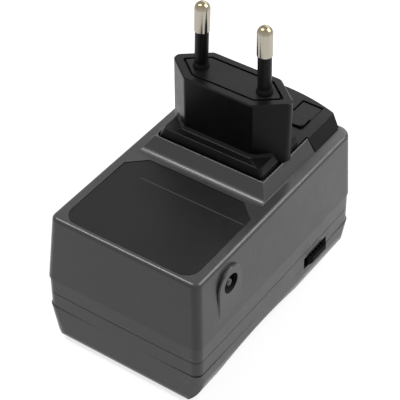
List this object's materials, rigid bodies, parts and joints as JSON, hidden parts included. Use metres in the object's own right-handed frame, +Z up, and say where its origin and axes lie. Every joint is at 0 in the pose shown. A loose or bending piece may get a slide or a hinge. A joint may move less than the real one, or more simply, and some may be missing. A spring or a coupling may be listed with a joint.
{
  "type": "battery charger",
  "caption": "Grey camera battery charger lying battery side down, with a black slide-on plug adapter whose pins point up, a low-voltage inlet and a small selector.",
  "frame": {"origin": "middle of the charger in plan, on the surface that it lies on", "axes": "+Z up along the plug pins, +Y the way the adapter slides off, +X to the side with the inlet"},
  "size_m": [0.0472, 0.0735, 0.081],
  "materials": {
    "housing_grey": "fine satin moulded grey",
    "label_black": "bare dark printed film",
    "plug_black": "satin moulded black",
    "sleeve_black": "smooth moulded black",
    "selector_black": "ribbed moulded black",
    "pin_nickel": "nickel plated",
    "contact_brass": "bright strip",
    "spring_steel": "bright strip",
    "jack_black": "moulded black",
    "board_green": "glass-fibre board",
    "ferrite": "pressed ferrite",
    "winding_tape": "taped coil",
    "can_aluminium": "drawn can",
    "chip_black": "moulded package",
    "resistor_blue": "lacquered body",
    "lamp_clear": "clear lamp"
  },
  "bodies": {
    "charger": {"rear_housing": "housing_grey", "front_housing": "housing_grey", "label_panel": "label_black", "mains_spring_left": "contact_brass", "mains_spring_right": "contact_brass", "dc_jack_body": "jack_black", "dc_jack_pin": "pin_nickel", "selector_switch": "jack_black", "battery_contact_left": "contact_brass", "battery_contact_right": "contact_brass", "circuit_board": "board_green", "transformer_core": "ferrite", "transformer_winding": "winding_tape", "mains_capacitor": "can_aluminium", "output_capacitor": "can_aluminium", "bridge_rectifier": "chip_black", "controller_chip": "chip_black", "fusible_resistor": "resistor_blue", "indicator_led": "lamp_clear"},
    "plug_adapter": {"adapter_cover": "plug_black", "adapter_base": "plug_black", "pin_carrier": "plug_black", "pin_left": "pin_nickel", "pin_right": "pin_nickel", "pin_sleeve_left": "sleeve_black", "pin_sleeve_right": "sleeve_black", "adapter_contact_left": "contact_brass", "adapter_contact_right": "contact_brass", "button_spring": "spring_steel"},
    "release_button": {"release_button": "plug_black"},
    "selector_knob": {"selector_knob": "selector_black"}
  },
  "joints": [
    {"name": "adapter_slide", "type": "slide", "parent": "charger", "child": "plug_adapter", "axis": [0, 1, 0], "range_m": [0, 0.036]},
    {"name": "button_press", "type": "slide", "parent": "plug_adapter", "child": "release_button", "axis": [0, 0, -1], "range_m": [0, 0.001], "stiffness_N_per_m": 500, "deforming": ["button_spring"]},
    {"name": "selector_slide", "type": "slide", "parent": "charger", "child": "selector_knob", "axis": [0, -1, 0], "range_m": [0, 0.0015]}
  ]
}
